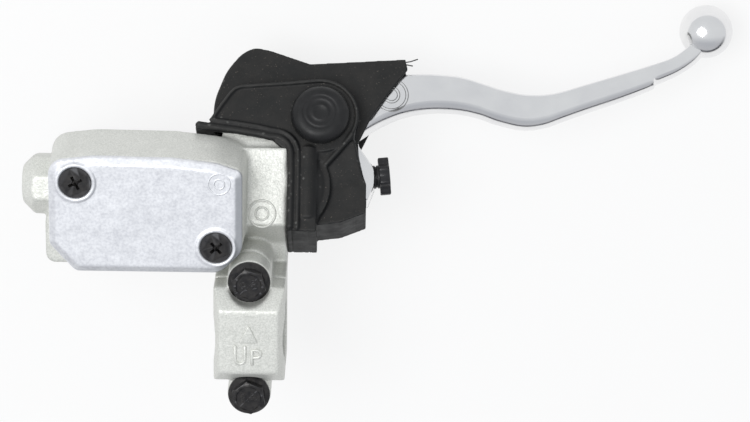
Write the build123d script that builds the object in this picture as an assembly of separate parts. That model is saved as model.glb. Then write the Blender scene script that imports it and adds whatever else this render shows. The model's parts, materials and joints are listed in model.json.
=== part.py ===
from build123d import *
import os
from math import cos, pi, radians, sin, tan

# Front brake master cylinder with its own fluid reservoir, for a motorcycle handlebar.
# All sizes are millimetres. The origin is the centre of the handlebar clamp bore. +X runs
# along the bar towards the ball end of the lever, +Y points forward, away from the rider,
# and +Z is square to the reservoir cover. Each piece is written to parts/ as its own STEP.

# Handlebar clamp
bar_diameter = 22.2
clamp_width = 22.5
clamp_gap = 1.0
clamp_bolt_spacing = 38.0
clamp_ear_radius = 6.9
clamp_seat_z = 9.5
clamp_face_z = 16.0
clamp_face_width = 19.0
clamp_face_front = 11.4
clamp_face_back = 9.6
clamp_block_front = 17.0
clamp_block_back = 14.5
clamp_base_z = -16.0

# Clamp bolts, M6 with a flange
bolt_diameter = 6.0
bolt_flange_diameter = 13.3
bolt_flange_thickness = 1.2
bolt_head_height = 3.8
bolt_hex_across_flats = 10.0
bolt_length = 23.0

# Cylinder barrel, along X
barrel_y = 42.0
barrel_z = -19.0
barrel_radius = 11.0
bore_diameter = 13.0
bore_end_x = -46.0
barrel_mouth_x = 18.0
mouth_counterbore_diameter = 16.0
mouth_counterbore_depth = 5.0

# Outlet for the brake hose banjo bolt, M10 x 1; its axis lies a little behind the barrel's
outlet_y = 40.5
outlet_face_x = -73.2
outlet_across_flats = 18.4
outlet_turn = 14.0
outlet_boss_length = 12.4
outlet_chamfer = 4.2
outlet_thread_diameter = 9.0
outlet_thread_depth = 11.0
outlet_passage_diameter = 3.0

# Web from the reservoir to the lever bracket, and the valley behind it
web_left = -4.0
web_front_y = 56.0
web_front_z = -11.7
web_crest_y = 33.0
web_crest_z = -3.3
valley_y = 24.0
valley_z = -13.0

# Reservoir and its cover
cover_left = -62.3
cover_right = -2.2
cover_back = 21.4
cover_front = 59.2
cover_top_z = 10.0
cover_thickness = 3.0
cover_bevel_height = 1.3
cover_bevel_width = 2.2
bowl_foot_z = -15.9
bowl_draft = 2.8
bowl_wall = 3.4
bowl_floor_z = -6.0
diaphragm_rim_inset = 1.5
diaphragm_rim_thickness = 0.9
diaphragm_wall = 1.0
diaphragm_depth = 9.0
screw_places = [(-53.8, 51.0), (-10.3, 30.2)]
screw_diameter = 5.0
screw_head_diameter = 10.0
screw_head_height = 2.6
screw_length = 15.0
screw_post_radius = 5.2
screw_seat_radius = 6.2
screw_seat_height = 0.35

# The lever works in a plane through the barrel's axis that leans forward and down.
# Sizes marked across are square to the barrel in that plane; heights are from the plane.
lever_plane_tilt = 36.0
pivot_x = 21.3
pivot_across = 18.2
pivot_diameter = 8.0
ear_radius = 9.6
ear_height = 11.1
pivot_head_diameter = 13.0
pivot_head_height = 3.2
pivot_nut_across_flats = 13.0
pivot_nut_height = 4.0

# Lever
lever_root_thickness = 10.4
lever_tip_thickness = 8.0
lever_root_radius = 7.6
lever_ball_x = 145.1
lever_ball_across = 52.9
lever_ball_radius = 8.6
bush_outer_diameter = 10.0
ear_gap = 0.5

# Reach adjuster, on its own axis through the lever's short arm
knob_x = 41.8
knob_across = 2.4
knob_tilt = 6.0
knob_diameter = 12.6
knob_thickness = 3.4
knob_lobes = 8
knob_hub_diameter = 7.5
knob_hub_length = 2.2
sleeve_diameter = 9.0
sleeve_length = 7.4
pin_diameter = 6.5
pin_length = 8.0
spindle_diameter = 4.0
adjuster_travel = 2.0

# Piston group
piston_clearance = 0.05
piston_rod_diameter = 8.0
piston_rod_end_x = 26.4
piston_shoulder_x = 12.8
piston_front_x = -12.0
piston_land = 3.0
piston_waist_diameter = 8.0
rear_land_length = 8.8
seal_width = 3.0
seal_depth = 1.6
cup_length = 4.0
spring_seat_length = 2.0
spring_wire = 1.3
spring_diameter = 10.6
spring_turns = 7
stop_washer_thickness = 1.0
snap_ring_wire = 1.2

# Rubber boot over the bracket
boot_wall = 1.6
boot_height = 13.0
boot_lip_left = -18.1
boot_lip_height = 0.7
boot_rim_left = 11.2
boot_band_right = 20.6
boot_back = -19.7
boot_band_front = 10.5
boot_skirt_right = 36.1
boot_skirt_height = 9.6
boot_hood_height = 7.5
boot_bulge_radius = 16.2
boot_bulge_x = 8.7
boot_bulge_across = -4.6
boot_bulge_right = 24.9
boot_bulge_height = 11.8
boot_dome_diameter = 18.7
boot_dome_height = 4.6

# Clearances
slip = 0.3
thread_clearance = 0.05
turning_clearance = 0.04

LEVER_PLACE = Pos(0, barrel_y, barrel_z) * Rot(-lever_plane_tilt, 0, 0)
ADJUSTER_DIRECTION = (cos(radians(knob_tilt)), sin(radians(knob_tilt)), 0)


def rod(radius, start, end, y=barrel_y, z=barrel_z):
    """Round bar along X from start to end."""
    plane = Plane(origin=(start, y, z), x_dir=(0, 1, 0), z_dir=(1, 0, 0))
    return extrude(plane * Circle(radius), amount=end - start)


def post(radius, low, high, x, y):
    """Round bar along Z from low to high."""
    return extrude(Plane(origin=(x, y, low)) * Circle(radius), amount=high - low)


def block(x, y, z):
    """Box between two limits on each axis."""
    size = (x[1] - x[0], y[1] - y[0], z[1] - z[0])
    middle = ((x[0] + x[1]) / 2, (y[0] + y[1]) / 2, (z[0] + z[1]) / 2)
    return Pos(*middle) * Box(*size)


def slab(points, low, high):
    """Flat plate of the given outline from low to high."""
    return extrude(Pos(0, 0, low) * make_face(Polyline(*points, close=True)), amount=high - low)


def rounded_slab(points, radius, low, high):
    """Flat plate whose corners are rounded."""
    line = FilletPolyline(*points, radius=radius, close=True)
    return extrude(Pos(0, 0, low) * make_face(line), amount=high - low)


def along_adjuster(distance):
    """Plane square to the adjuster's axis, at a distance from the knob's middle."""
    x = knob_x + distance * ADJUSTER_DIRECTION[0]
    across = knob_across + distance * ADJUSTER_DIRECTION[1]
    return Plane(origin=(x, across, 0), x_dir=(0, 0, 1), z_dir=ADJUSTER_DIRECTION)


def adjuster_rod(radius, start, end):
    """Round bar on the adjuster's axis."""
    return extrude(along_adjuster(start) * Circle(radius), amount=end - start)


def cover_outline(inset=0.0):
    """Plan view of the reservoir cover: a rounded box with one corner cut off."""
    front_fall = 1.9
    points = [
        (cover_left, cover_back + 9.0),
        (cover_left, cover_front - 1.7),
        (cover_left + 14.0, cover_front),
        (cover_right - 22.0, cover_front - 0.3),
        (cover_right - 8.0, cover_front - front_fall),
        (cover_right, cover_front - 4.6),
        (cover_right, cover_back + 7.0),
        (cover_right - 7.0, cover_back),
        (cover_left + 8.0, cover_back),
    ]
    radii = [3.0, 5.0, 20.0, 20.0, 10.0, 2.5, 6.0, 6.0, 3.0]
    face = make_face(FilletPolyline(*points, radius=radii, close=True))
    if inset:
        face = offset(face, amount=-inset)
    return face


body_top_z = cover_top_z - cover_thickness
casting_base_z = barrel_z - barrel_radius


def bracket_outline():
    """Outline, in the lever's plane, of both lever ears, which carry on from the barrel."""
    return [
        (boot_lip_left + 8.0, 10.0),
        (-8.5, 20.0),
        (-4.0, 25.0),
        (2.0, 26.0),
        (pivot_x, pivot_across + ear_radius),
        (pivot_x + ear_radius * 0.8, pivot_across),
        (boot_rim_left + 3.0, barrel_radius - 6.0),
        (boot_rim_left - 2.0, 0.0),
        (web_left, 0.0),
    ]


def nose_outline():
    """Outline, in the lever's plane, of the solid nose that joins the ears in front."""
    return [
        (-10.0, 8.0),
        (-9.6, 25.0),
        (-7.0, 32.0),
        (-2.5, 38.0),
        (1.0, 39.6),
        (9.0, 37.0),
        (pivot_x - lever_root_radius - 1.0, 34.0),
        (boot_rim_left, 8.0),
    ]


def body_casting():
    """Painted aluminium casting that carries everything else."""
    barrel = rod(barrel_radius, outlet_face_x + outlet_boss_length, barrel_mouth_x)
    # Reservoir bowl with drafted walls
    bowl_height = body_top_z - bowl_foot_z
    foot = offset(cover_outline(), amount=bowl_height * tan(radians(bowl_draft)))
    bowl = extrude(Pos(0, 0, bowl_foot_z) * foot, amount=bowl_height, taper=bowl_draft)
    saddle = block(
        (cover_left + 5, cover_right),
        (barrel_y - barrel_radius, barrel_y + barrel_radius),
        (barrel_z, bowl_foot_z + 1),
    )
    lug = rounded_slab(
        [
            (cover_left - 3.4, cover_back + 12),
            (cover_left - 3.4, cover_back - 5.0),
            (cover_left + 8, cover_back - 5.0),
            (cover_left + 20, cover_back + 12),
        ],
        3.0,
        bowl_foot_z - 3.0,
        bowl_foot_z + 5.0,
    )
    # Web from the reservoir to the lever bracket, falling to a valley behind the clamp
    profile = [
        (web_front_y, web_front_z),
        (web_crest_y, web_crest_z),
        (valley_y, valley_z),
        (clamp_block_front, valley_z),
        (clamp_block_front - 7.0, clamp_base_z),
        (clamp_block_front - 2.0, clamp_base_z - 8.0),
        (barrel_y - 8.0, casting_base_z),
        (barrel_y + 8.0, casting_base_z),
    ]
    side = Plane(origin=(web_left, 0, 0), x_dir=(0, 1, 0), z_dir=(1, 0, 0))
    web_face = side * make_face(Polyline(*profile, close=True))
    web = extrude(web_face, amount=boot_rim_left - web_left)
    neck_side = Plane(origin=(-clamp_width / 2, 0, 0), x_dir=(0, 1, 0), z_dir=(1, 0, 0))
    neck_profile = [point for point in profile[2:7]] + [(barrel_y - 8.0, valley_z)]
    neck_face = neck_side * make_face(Polyline(*neck_profile, close=True))
    neck = extrude(neck_face, amount=boot_rim_left + clamp_width / 2)
    # Fixed half of the clamp
    half_gap = clamp_gap / 2
    clamp_half = block(
        (-clamp_width / 2, clamp_width / 2),
        (-clamp_block_back, clamp_block_front),
        (clamp_base_z, -half_gap),
    )
    for side_sign in (1, -1):
        y = side_sign * clamp_bolt_spacing / 2
        clamp_half += post(clamp_ear_radius, clamp_base_z, -half_gap, 0, y)
    body = barrel + bowl + saddle + lug + web + neck + clamp_half + octagon_boss()
    body += LEVER_PLACE * bracket()
    body -= rod(bar_diameter / 2, -clamp_width, clamp_width, 0, 0)
    for hole in casting_holes():
        body -= hole
    return body - LEVER_PLACE * pivot_hole()


def bracket():
    """Two ears joined by a nose in front; the lever turns between them."""
    ears = slab(bracket_outline(), -ear_height, ear_height)
    ears += post(ear_radius, -ear_height, ear_height, pivot_x, pivot_across)
    nose_height = boot_hood_height - boot_wall - slip
    ears += slab(nose_outline(), -nose_height, nose_height)
    mouth = lever_root_thickness / 2 + ear_gap
    throat_radius = lever_root_radius + 1.5
    throat = post(throat_radius, -mouth, mouth, pivot_x, pivot_across)
    throat += slab(
        [
            (pivot_x - throat_radius, pivot_across),
            (boot_rim_left + 1.5, barrel_radius - 4.0),
            (boot_skirt_right, barrel_radius - 4.0),
            (boot_skirt_right, pivot_across + 20),
            (pivot_x, pivot_across + 20),
        ],
        -mouth,
        mouth,
    )
    throat -= rod(barrel_radius + slip, web_left, barrel_mouth_x, 0, 0)
    return (ears & room_for_casting()) - throat


def pivot_hole():
    """Hole through both ears for the pivot bolt."""
    return post(pivot_diameter / 2, -ear_height - 1, ear_height + 1, pivot_x, pivot_across)


def boot_mouth(inset):
    """Opening behind the boot's lip where the casting goes in."""
    points = [
        (inset - 13.8, 6.0),
        (inset - 13.8, 15.0),
        (inset - 10.0, 22.0),
        (boot_rim_left + 2, 16.0),
        (boot_rim_left + 2, 0.0),
        (-2.0, 0.0),
    ]
    return slab(points, inset - boot_height, boot_height - inset)


def room_for_casting():
    """Space the bracket may fill: behind the boot's edge, and inside the boot's wall."""
    inset = boot_wall + slip
    room = raised_part(inset) + hood(inset) + boot_mouth(inset)
    room += block((-30, boot_rim_left), (-30, 10.0), (-boot_height, boot_height))
    room += block(
        (boot_rim_left - 1, boot_band_right - inset),
        (boot_back + inset, boot_band_front),
        (inset - boot_height, boot_height - inset),
    )
    return room


def octagon_boss():
    """Eight-sided outlet boss with a chamfered face."""
    start = Plane(origin=(outlet_face_x, outlet_y, barrel_z), x_dir=(0, 1, 0), z_dir=(1, 0, 0))
    corner_radius = outlet_across_flats / 2 / cos(pi / 8)
    face = start * Rot(0, 0, outlet_turn) * RegularPolygon(corner_radius, 8)
    boss = extrude(face, amount=outlet_boss_length + 6)
    cone = Cone(
        corner_radius - outlet_chamfer,
        corner_radius - outlet_chamfer + outlet_boss_length + 6,
        outlet_boss_length + 6,
        align=(Align.CENTER, Align.CENTER, Align.MIN),
    )
    return boss & (start * cone)


def casting_holes():
    """Everything drilled, bored or cored out of the casting, as a list of solids to take away."""
    mouth_start = barrel_mouth_x - mouth_counterbore_depth
    groove_x = mouth_start + stop_washer_thickness + thread_clearance
    groove_radius = mouth_counterbore_diameter / 2 + 0.8
    holes = [
        rod(bore_diameter / 2, bore_end_x, barrel_mouth_x + 1),
        rod(mouth_counterbore_diameter / 2, mouth_start, barrel_mouth_x + 1),
        rod(groove_radius, groove_x, groove_x + snap_ring_wire + 0.1),
        rod(outlet_passage_diameter / 2, outlet_face_x, bore_end_x + 1),
        rod(
            outlet_thread_diameter / 2,
            outlet_face_x - 1,
            outlet_face_x + outlet_thread_depth,
            outlet_y,
        ),
    ]
    # Reservoir pocket, the rim seat of the diaphragm and the screw holes
    pocket = Pos(0, 0, bowl_floor_z) * cover_outline(bowl_wall)
    pocket = extrude(pocket, amount=body_top_z - bowl_floor_z + 1)
    for x, y in screw_places:
        pocket -= post(screw_post_radius, bowl_floor_z - 1, body_top_z + 2, x, y)
    seat = Pos(0, 0, body_top_z - diaphragm_rim_thickness) * cover_outline(diaphragm_rim_inset)
    holes.append(pocket)
    holes.append(extrude(seat, amount=diaphragm_rim_thickness + 1))
    for x, y in screw_places:
        low = cover_top_z - screw_length - 1
        holes.append(post(screw_diameter / 2, low, body_top_z + 1, x, y))
    # Fluid ports between the reservoir and the bore
    bore_top = barrel_z + bore_diameter / 4
    breather_x = piston_front_x - cup_length - 1.5
    holes.append(post(0.6, bore_top, bowl_floor_z + 1, breather_x, barrel_y))
    holes.append(post(1.6, bore_top, bowl_floor_z + 1, piston_front_x + 4, barrel_y))
    # Clamp bolt threads
    for side_sign in (1, -1):
        y = side_sign * clamp_bolt_spacing / 2
        holes.append(post(bolt_diameter / 2, clamp_base_z - 10, 0, 0, y))
    return holes


def reservoir_cover():
    """Cast cover with bevelled edges and two raised screw seats."""
    step = cover_thickness - cover_bevel_height
    cover = extrude(Pos(0, 0, body_top_z) * cover_outline(), amount=step)
    low_line = Pos(0, 0, body_top_z + step) * cover_outline()
    high_line = Pos(0, 0, cover_top_z) * cover_outline(cover_bevel_width)
    cover += loft([low_line, high_line])
    for x, y in screw_places:
        cover += post(screw_seat_radius, body_top_z, cover_top_z + screw_seat_height, x, y)
    cover = cover & extrude(Pos(0, 0, body_top_z) * cover_outline(), amount=20)
    for x, y in screw_places:
        cover -= screw_shape(x, y, slip / 2)
    return cover


def screw_shape(x, y, extra=0.0):
    """Countersunk screw with its head level with the cover's screw seat."""
    top = cover_top_z + screw_seat_height
    radius = screw_head_diameter / 2
    shank = screw_diameter / 2 - thread_clearance + extra
    rim = 0.5
    outline = [
        (0, top - screw_length),
        (shank, top - screw_length),
        (shank, top - screw_head_height),
        (radius + extra, top - rim),
        (radius + extra, top + extra),
        (0, top + extra),
    ]
    face = Plane.XZ * make_face(Polyline(*outline, close=True))
    return Pos(x, y, 0) * revolve(face, Axis.Z)


def cover_screws():
    """Two cross-recess screws."""
    screws = []
    top = cover_top_z + screw_seat_height
    for x, y in screw_places:
        screw = screw_shape(x, y)
        for angle in (45, 135):
            slot = Pos(x, y, top) * Rot(0, 0, angle) * Box(5.2, 1.2, 2.4)
            screw -= slot
        screws.append(screw)
    return Compound(children=screws)


def reservoir_diaphragm():
    """Rubber diaphragm: a rim held under the cover and a cup that hangs in the fluid."""
    rim_low = body_top_z - diaphragm_rim_thickness
    rim = extrude(
        Pos(0, 0, rim_low) * cover_outline(diaphragm_rim_inset + 0.1), amount=diaphragm_rim_thickness
    )
    inset = bowl_wall + slip
    low = rim_low - diaphragm_depth
    cup = extrude(Pos(0, 0, low) * cover_outline(inset), amount=diaphragm_depth)
    hollow = extrude(
        Pos(0, 0, low + diaphragm_wall) * cover_outline(inset + diaphragm_wall),
        amount=diaphragm_depth + 1,
    )
    for x, y in screw_places:
        cup -= post(screw_post_radius + slip, low - 1, rim_low, x, y)
        hollow -= post(screw_post_radius + slip + diaphragm_wall, low, body_top_z + 1, x, y)
    diaphragm = rim + cup - hollow
    for x, y in screw_places:
        diaphragm -= post(screw_diameter / 2 + slip, low - 1, body_top_z + 1, x, y)
    return diaphragm


def float_plate():
    """Thin plate over the fluid ports that stops fluid spurting up."""
    middle_x = piston_front_x
    plate = block(
        (middle_x - 9, middle_x + 5.5), (barrel_y - 4.4, barrel_y + 4.4), (bowl_floor_z, bowl_floor_z + 0.8)
    )
    return plate - post(0.8, 0, bowl_floor_z + 2, middle_x - 1, barrel_y)


def clamp_cap():
    """Loose half of the clamp, with a raised face between its two bolts."""
    half_gap = clamp_gap / 2
    half = clamp_width / 2
    cap = block((-half, half), (-clamp_block_back, clamp_block_front), (half_gap, clamp_seat_z))
    for side_sign in (1, -1):
        y = side_sign * clamp_bolt_spacing / 2
        cap += post(clamp_ear_radius, half_gap, clamp_seat_z, 0, y)
    low_face = Pos(0, (clamp_block_front - clamp_block_back) / 2, clamp_seat_z) * Rectangle(
        clamp_width, clamp_block_front + clamp_block_back
    )
    high_face = Pos(0, (clamp_face_front - clamp_face_back) / 2, clamp_face_z) * Rectangle(
        clamp_face_width, clamp_face_front + clamp_face_back
    )
    cap += loft([low_face, high_face])
    for side_sign in (1, -1):
        y = side_sign * clamp_bolt_spacing / 2
        cap -= post(bolt_flange_diameter / 2 + slip, clamp_seat_z, clamp_face_z + 1, 0, y)
        cap -= post(bolt_diameter / 2 + slip, 0, clamp_seat_z + 1, 0, y)
    return cap - rod(bar_diameter / 2, -clamp_width, clamp_width, 0, 0)


def clamp_bolts():
    """Two flanged hexagon bolts."""
    bolts = []
    for side_sign in (1, -1):
        y = side_sign * clamp_bolt_spacing / 2
        radius = bolt_diameter / 2 - thread_clearance
        bolt = post(radius, clamp_seat_z - bolt_length, clamp_seat_z, 0, y)
        flange_top = clamp_seat_z + bolt_flange_thickness
        bolt += post(bolt_flange_diameter / 2, clamp_seat_z, flange_top, 0, y)
        hexagon = RegularPolygon(bolt_hex_across_flats / 2 / cos(pi / 6), 6)
        head = extrude(Pos(0, y, clamp_seat_z) * hexagon, amount=bolt_flange_thickness + bolt_head_height)
        bolt += head
        bolts.append(bolt)
    return Compound(children=bolts)


def pivot_bolt():
    """Bolt that the lever turns on."""
    radius = pivot_diameter / 2 - turning_clearance
    end = -ear_height - pivot_nut_height - 1.0
    bolt = post(radius, end, ear_height, pivot_x, pivot_across)
    head_top = ear_height + pivot_head_height
    bolt += post(pivot_head_diameter / 2, ear_height, head_top, pivot_x, pivot_across)
    slot = Pos(pivot_x, pivot_across, head_top) * Box(pivot_head_diameter + 2, 1.6, 2.0)
    return LEVER_PLACE * (bolt - slot)


def pivot_nut():
    """Hexagon nut under the lower ear."""
    hexagon = RegularPolygon(pivot_nut_across_flats / 2 / cos(pi / 6), 6)
    low = -ear_height - pivot_nut_height
    nut = extrude(Pos(pivot_x, pivot_across, low) * hexagon, amount=pivot_nut_height)
    return LEVER_PLACE * (nut - pivot_hole() - post(pivot_diameter / 2, low - 1, 0, pivot_x, pivot_across))


def lever_outline():
    """Lever in its own plane: finger blade, root and short arm that works the piston."""
    front = Spline(
        (pivot_x, pivot_across + lever_root_radius),
        (30.0, 28.6),
        (38.0, 33.6),
        (48.0, 35.4),
        (57.0, 35.6),
        (65.0, 35.0),
        (75.6, 32.0),
        (85.5, 29.5),
        (92.0, 29.3),
        (105.0, 32.8),
        (127.0, 40.1),
        (lever_ball_x - 6.5, lever_ball_across - 5.2),
    )
    tip = Line(front @ 1, (lever_ball_x - 1.0, lever_ball_across - 8.0))
    rear = Spline(
        tip @ 1,
        (128.0, 33.6),
        (116.0, 28.4),
        (98.0, 21.6),
        (92.0, 19.5),
        (85.5, 18.8),
        (75.6, 21.1),
        (65.0, 23.8),
        (57.0, 24.0),
        (48.0, 22.4),
        (40.0, 18.6),
        (33.3, 14.0),
    )
    arm = Polyline(
        rear @ 1,
        (33.6, 10.6),
        (37.7, 4.6),
        (38.5, 2.8),
        (38.4, -1.3),
        (36.4, -6.2),
        (32.2, -5.2),
        (30.0, -2.6),
        (30.0, 5.5),
        (pivot_x - lever_root_radius * 0.6, pivot_across - lever_root_radius * 0.8),
        (pivot_x - lever_root_radius, pivot_across),
        (pivot_x, pivot_across + lever_root_radius),
    )
    return make_face(front + tip + rear + arm)


def brake_lever():
    """Forged lever, thick at its root and thinner along the finger blade."""
    half = lever_root_thickness / 2
    lever = extrude(Pos(0, 0, -half) * lever_outline(), amount=lever_root_thickness)
    lever += post(lever_root_radius, -half, half, pivot_x, pivot_across)
    root = half + 0.1
    tip = lever_tip_thickness / 2
    envelope = [
        (0, root),
        (60, root),
        (100, tip + 0.6),
        (lever_ball_x, tip),
        (lever_ball_x, -tip),
        (100, -tip - 0.6),
        (60, -root),
        (0, -root),
    ]
    side = Plane(origin=(0, 200, 0), x_dir=(1, 0, 0), z_dir=(0, -1, 0))
    lever &= extrude(side * make_face(Polyline(*envelope, close=True)), amount=300)
    lever += Pos(lever_ball_x, lever_ball_across, 0) * Sphere(lever_ball_radius)
    lever -= post(bush_outer_diameter / 2, -half - 1, half + 1, pivot_x, pivot_across)
    return LEVER_PLACE * (lever - adjuster_rod(sleeve_diameter / 2, -22, 0))


def lever_bush():
    """Plain bearing pressed into the lever."""
    half = lever_root_thickness / 2 + slip / 2
    bush = post(bush_outer_diameter / 2, -half, half, pivot_x, pivot_across)
    return LEVER_PLACE * (bush - post(pivot_diameter / 2, -half - 1, half + 1, pivot_x, pivot_across))


hub_end = -knob_thickness / 2 - knob_hub_length
sleeve_start = hub_end - slip - sleeve_length
pin_back = sleeve_start + 4.2


def adjuster_sleeve():
    """Sleeve fixed in the lever's arm; the push pin slides in it."""
    sleeve = adjuster_rod(sleeve_diameter / 2, sleeve_start, sleeve_start + sleeve_length)
    hollow_end = pin_back + adjuster_travel + slip
    sleeve -= adjuster_rod(pin_diameter / 2 + turning_clearance, sleeve_start - 1, hollow_end)
    sleeve -= adjuster_rod(spindle_diameter / 2 + turning_clearance, hollow_end - 1, hub_end)
    return LEVER_PLACE * sleeve


def push_pin():
    """Round-nosed pin that presses on the piston rod, hollow behind for the spindle."""
    radius = pin_diameter / 2
    front = pin_back - pin_length
    pin = adjuster_rod(radius, front + radius, pin_back)
    nose = along_adjuster(front + radius).origin
    pin += Pos(nose.X, nose.Y, nose.Z) * Sphere(radius)
    pin -= adjuster_rod(spindle_diameter / 2 + turning_clearance, pin_back - 4.4, pin_back + 1)
    return LEVER_PLACE * pin


def adjuster_knob():
    """Scalloped hand wheel with its hub and spindle in one piece."""
    half = knob_thickness / 2
    knob = adjuster_rod(knob_diameter / 2, -half, half)
    scallop_ring = knob_diameter / 2 + 0.9
    for number in range(knob_lobes):
        angle = 2 * pi * number / knob_lobes
        centre = Pos(scallop_ring * cos(angle), scallop_ring * sin(angle))
        knob -= extrude(along_adjuster(-half - 1) * centre * Circle(1.7), amount=knob_thickness + 2)
    knob += adjuster_rod(knob_hub_diameter / 2, hub_end, -half)
    knob += adjuster_rod(spindle_diameter / 2, pin_back - 1.9, hub_end)
    return LEVER_PLACE * knob


def piston():
    """Piston with two lands, a waist between them, a seal groove and a rod."""
    land_radius = bore_diameter / 2 - piston_clearance
    rear_start = piston_shoulder_x - rear_land_length
    body = rod(land_radius, piston_front_x, piston_front_x + piston_land)
    body += rod(piston_waist_diameter / 2, piston_front_x, rear_start)
    body += rod(land_radius, rear_start, piston_shoulder_x)
    body += rod(piston_rod_diameter / 2, piston_shoulder_x, piston_rod_end_x)
    return body - seal_ring(bore_diameter / 2 + 1)


def seal_ring(outer):
    """Ring that fills the seal groove of the piston's rear land."""
    start = piston_shoulder_x - rear_land_length / 2 - seal_width / 2
    ring = rod(outer, start, start + seal_width)
    return ring - rod(bore_diameter / 2 - piston_clearance - seal_depth, start - 1, start + seal_width + 1)


def secondary_seal():
    """Rubber seal in the piston's groove."""
    return seal_ring(bore_diameter / 2 - 0.02)


def primary_cup():
    """Cup seal in front of the piston, hollow towards the pressure side."""
    start = piston_front_x - cup_length
    cup = rod(bore_diameter / 2 - 0.02, start, piston_front_x)
    return cup - rod(bore_diameter / 2 - 1.6, start - 1, start + 1.6)


def spring_seat():
    """Seat between the cup and the return spring."""
    end = piston_front_x - cup_length
    seat = rod(bore_diameter / 2 - 1.8, end - spring_seat_length, end + 1.5)
    stub = spring_diameter / 2 - spring_wire - 0.4
    return seat + rod(stub, end - spring_seat_length - 3, end - spring_seat_length)


def return_spring():
    """Coil spring that sends the piston back."""
    end = piston_front_x - cup_length - spring_seat_length - spring_wire / 2 - 0.1
    start = bore_end_x + spring_wire / 2 + 0.1
    radius = (spring_diameter - spring_wire) / 2
    height = end - start
    path = Helix(pitch=height / spring_turns, height=height, radius=radius)
    wire = Plane(origin=path @ 0, z_dir=path % 0) * Circle(spring_wire / 2)
    coil = sweep(wire, path=path, is_frenet=True)
    return Pos(start, barrel_y, barrel_z) * Rot(0, 90, 0) * coil


def stop_washer():
    """Washer that the piston's shoulder rests against."""
    start = barrel_mouth_x - mouth_counterbore_depth
    washer = rod(mouth_counterbore_diameter / 2 - 0.1, start, start + stop_washer_thickness)
    return washer - rod(piston_rod_diameter / 2 + 0.2, start - 1, start + 3)


def snap_ring():
    """Open spring ring in the groove behind the washer."""
    start = barrel_mouth_x - mouth_counterbore_depth + stop_washer_thickness + thread_clearance
    outer = mouth_counterbore_diameter / 2 + 0.7
    ring = rod(outer, start, start + snap_ring_wire)
    ring -= rod(outer - 2.2, start - 1, start + snap_ring_wire + 1)
    gap = block(
        (start - 1, start + snap_ring_wire + 1), (barrel_y - 2, barrel_y + 2), (barrel_z, barrel_z + 12)
    )
    return ring - gap


def dust_boot():
    """Small rubber bellows between the barrel's mouth and the piston rod."""
    start = barrel_mouth_x - mouth_counterbore_depth + stop_washer_thickness + snap_ring_wire + 0.4
    outer = mouth_counterbore_diameter / 2 - 0.1
    neck = piston_rod_diameter / 2 + 0.05
    tip = piston_rod_end_x - 2.4
    outline = [
        (start, outer - 1.6),
        (start, outer),
        (barrel_mouth_x + 0.6, outer),
        (barrel_mouth_x + 2.0, outer - 1.6),
        (barrel_mouth_x + 3.4, outer - 0.6),
        (tip, neck + 1.3),
        (tip, neck),
        (tip - 1.6, neck),
        (barrel_mouth_x + 3.4, outer - 2.0),
        (barrel_mouth_x + 2.0, outer - 3.0),
        (barrel_mouth_x + 0.6, outer - 1.6),
    ]
    face = make_face(Polyline(*outline, close=True))
    return Pos(0, barrel_y, barrel_z) * revolve(face, Axis.X)


def raised_part(inset):
    """Thick part of the boot over the bracket's two ears."""
    reach = ear_radius + boot_wall + slip + 0.3
    points = [
        (-13.7, 16.6),
        (-7.6, 25.8),
        (-4.4, 27.8),
        (pivot_x, pivot_across + reach),
        (pivot_x + reach, pivot_across),
        (32.0, 10.5),
        (boot_rim_left, 4.0),
        (boot_rim_left, 9.6),
    ]
    radii = [1.0, 7.0, 7.0, 1.0, 1.0, 1.0, 0.5, 0.5]
    face = make_face(FilletPolyline(*points, radius=radii, close=True))
    round_end = Pos(pivot_x, pivot_across) * Circle(reach)
    face += round_end
    if inset:
        face = offset(face, amount=-inset)
    height = boot_height - inset
    return extrude(Pos(0, 0, -height) * face, amount=2 * height)


def hood(inset):
    """Thin part of the boot: the nose in front and the flap over the lever's root."""
    nose = [
        (-13.1, 15.0),
        (-12.6, 25.0),
        (-9.0, 34.6),
        (-4.2, 40.7),
        (0.0, 42.6),
        (5.2, 41.5),
        (18.7, 36.9),
        (24.0, 20.0),
        (boot_rim_left, 12.0),
    ]
    radii = [1.0, 20.0, 18.0, 10.0, 5.0, 20.0, 1.0, 1.0, 1.0]
    face = make_face(FilletPolyline(*nose, radius=radii, close=True))
    if inset:
        face = offset(face, amount=-inset)
    height = boot_hood_height - inset
    return extrude(Pos(0, 0, -height) * face, amount=2 * height)


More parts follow.
